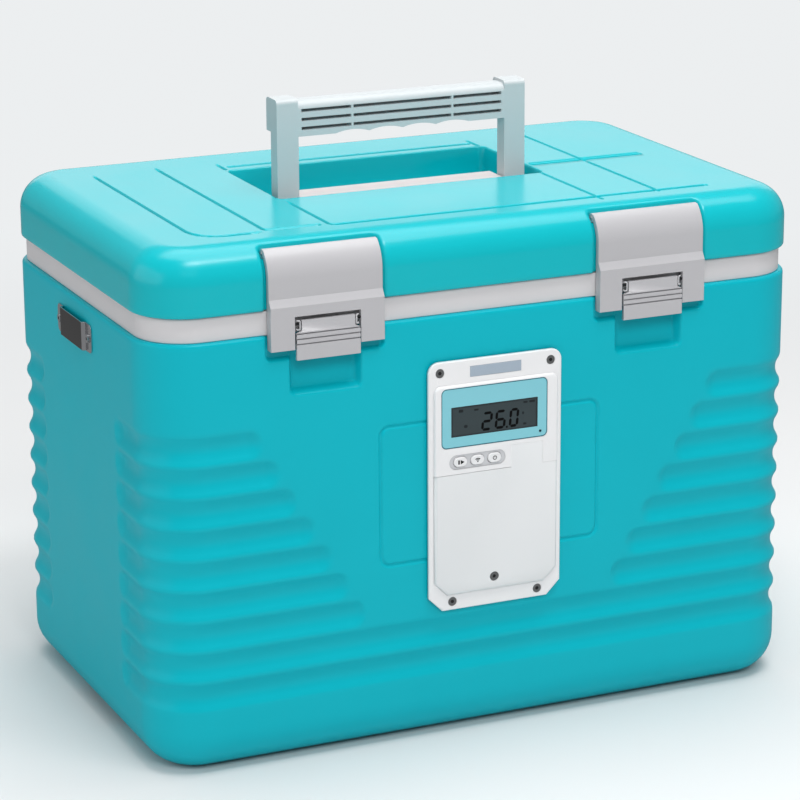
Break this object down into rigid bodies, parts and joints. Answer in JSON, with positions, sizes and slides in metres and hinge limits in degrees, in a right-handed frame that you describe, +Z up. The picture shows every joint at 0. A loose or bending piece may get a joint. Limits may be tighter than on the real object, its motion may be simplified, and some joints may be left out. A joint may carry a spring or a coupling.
{
  "type": "insulated specimen transport box",
  "caption": "Foam-insulated transport box with hinged lid, toggle latches, folding carry handle and a temperature display on the front.",
  "frame": {"origin": "on the ground under the middle of the box", "axes": "+X along the length, to the right when facing the display; -Y towards the display side, +Y towards the hinges; +Z up"},
  "size_m": [0.507, 0.3264, 0.439],
  "materials": {
    "turquoise_tub": "satin",
    "turquoise_lid": "satin",
    "foam": "matte",
    "liner_white": "satin",
    "band": "satin",
    "dark_rubber": "matte",
    "housing_white": "satin",
    "window_blue": "gloss",
    "lcd": "gloss",
    "plate_grey": "satin",
    "keypad_grey": "satin",
    "lamp": "gloss",
    "board_green": "satin",
    "battery_sleeve": "satin",
    "button_white": "satin",
    "dark_steel": "satin",
    "steel": "satin",
    "polished_steel": "polished",
    "seat_pale": "satin",
    "handle_grey": "satin",
    "latch_grey": "satin"
  },
  "bodies": {
    "tub": {"tub_shell": "turquoise_tub", "tub_foam": "foam", "inner_liner": "liner_white", "rim_collar": "band", "display_gasket": "dark_rubber", "display_housing": "housing_white", "display_window": "window_blue", "lcd_screen": "lcd", "nameplate": "plate_grey", "keypad_surround": "keypad_grey", "status_lamp": "lamp", "circuit_board": "board_green", "battery_pack": "battery_sleeve", "battery_cover": "housing_white", "battery_cover_screw": "dark_steel", "housing_screws": "dark_steel", "temperature_probe": "steel", "strap_loop_left": "polished_steel", "strap_loop_right": "polished_steel", "strap_loop_screws": "steel", "latch_keeper_left": "steel", "latch_keeper_right": "steel", "keeper_screws": "steel", "hinge_base_left": "steel", "hinge_base_right": "steel", "hinge_base_screws": "dark_steel", "hinge_pins": "steel"},
    "lid": {"lid_shell": "turquoise_lid", "lid_foam": "foam", "lid_liner": "liner_white", "lid_seal": "dark_rubber", "handle_seat": "seat_pale", "handle_pins": "steel", "hinge_leaf_left": "steel", "hinge_leaf_right": "steel", "hinge_leaf_screws": "dark_steel", "latch_pin_left": "steel", "latch_pin_right": "steel"},
    "handle": {"carry_handle": "handle_grey"},
    "latch_left": {"latch_plate_left": "latch_grey", "release_pin_left": "steel", "release_springs_left": "steel"},
    "latch_right": {"latch_plate_right": "latch_grey", "release_pin_right": "steel", "release_springs_right": "steel"},
    "release_left": {"release_tab_left": "latch_grey"},
    "release_right": {"release_tab_right": "latch_grey"},
    "start_key": {"start_button": "button_white"},
    "signal_key": {"signal_button": "button_white"},
    "power_key": {"power_button": "button_white"}
  },
  "joints": [
    {"name": "lid_hinge", "type": "hinge", "parent": "tub", "child": "lid", "pos_m": [0, 0.1587, 0.3185], "axis": [-1, 0, 0], "range_deg": [0, 100]},
    {"name": "handle_fold", "type": "hinge", "parent": "lid", "child": "handle", "pos_m": [0, -0.002, 0.363], "axis": [-1, 0, 0], "range_deg": [0, 90]},
    {"name": "latch_left_swing", "type": "hinge", "parent": "lid", "child": "latch_left", "pos_m": [-0.1238, -0.14582, 0.36497], "axis": [-1, 0, 0], "range_deg": [0, 95]},
    {"name": "latch_right_swing", "type": "hinge", "parent": "lid", "child": "latch_right", "pos_m": [0.1238, -0.14582, 0.36497], "axis": [-1, 0, 0], "range_deg": [0, 95]},
    {"name": "release_left_pull", "type": "hinge", "parent": "latch_left", "child": "release_left", "pos_m": [-0.1238, -0.159, 0.3175], "axis": [-1, 0, 0], "range_deg": [0, 20], "stiffness_Nm_per_rad": 0.04},
    {"name": "release_right_pull", "type": "hinge", "parent": "latch_right", "child": "release_right", "pos_m": [0.1238, -0.159, 0.3175], "axis": [-1, 0, 0], "range_deg": [0, 20], "stiffness_Nm_per_rad": 0.04},
    {"name": "start_press", "type": "slide", "parent": "tub", "child": "start_key", "axis": [0, 1, 0], "range_m": [0, 0.001], "stiffness_N_per_m": 900},
    {"name": "signal_press", "type": "slide", "parent": "tub", "child": "signal_key", "axis": [0, 1, 0], "range_m": [0, 0.001], "stiffness_N_per_m": 900},
    {"name": "power_press", "type": "slide", "parent": "tub", "child": "power_key", "axis": [0, 1, 0], "range_m": [0, 0.001], "stiffness_N_per_m": 900}
  ]
}
